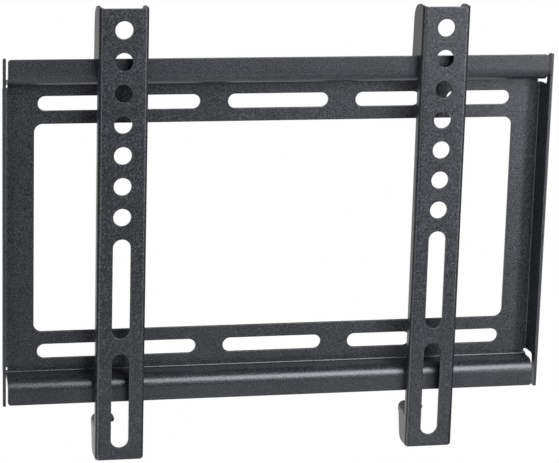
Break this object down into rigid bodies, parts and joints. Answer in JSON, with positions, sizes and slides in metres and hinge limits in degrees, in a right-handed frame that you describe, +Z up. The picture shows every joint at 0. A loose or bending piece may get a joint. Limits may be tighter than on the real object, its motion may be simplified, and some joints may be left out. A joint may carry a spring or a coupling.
{
  "type": "television wall mount",
  "caption": "Folded steel wall plate with a rail along its top and bottom, and channel arms that screw to a television, hook over the rails and slide along them.",
  "frame": {"origin": "middle of the wall plate's rear face, where the wall is", "axes": "X to the right along the rails, Y into the wall, Z up; the television is on the -Y side"},
  "size_m": [0.2692, 0.0201, 0.2222],
  "materials": {
    "powder_coat": "charcoal powder coat on steel sheet, finely textured, half matt"
  },
  "bodies": {
    "wall_plate": {"wall_plate": "powder_coat"},
    "left_arm": {"left_arm": "powder_coat"},
    "right_arm": {"right_arm": "powder_coat"}
  },
  "joints": [
    {"name": "left_arm_slide", "type": "slide", "parent": "wall_plate", "child": "left_arm", "axis": [1, 0, 0], "range_m": [-0.04, 0.066]},
    {"name": "right_arm_slide", "type": "slide", "parent": "wall_plate", "child": "right_arm", "axis": [1, 0, 0], "range_m": [-0.063, 0.041]}
  ]
}
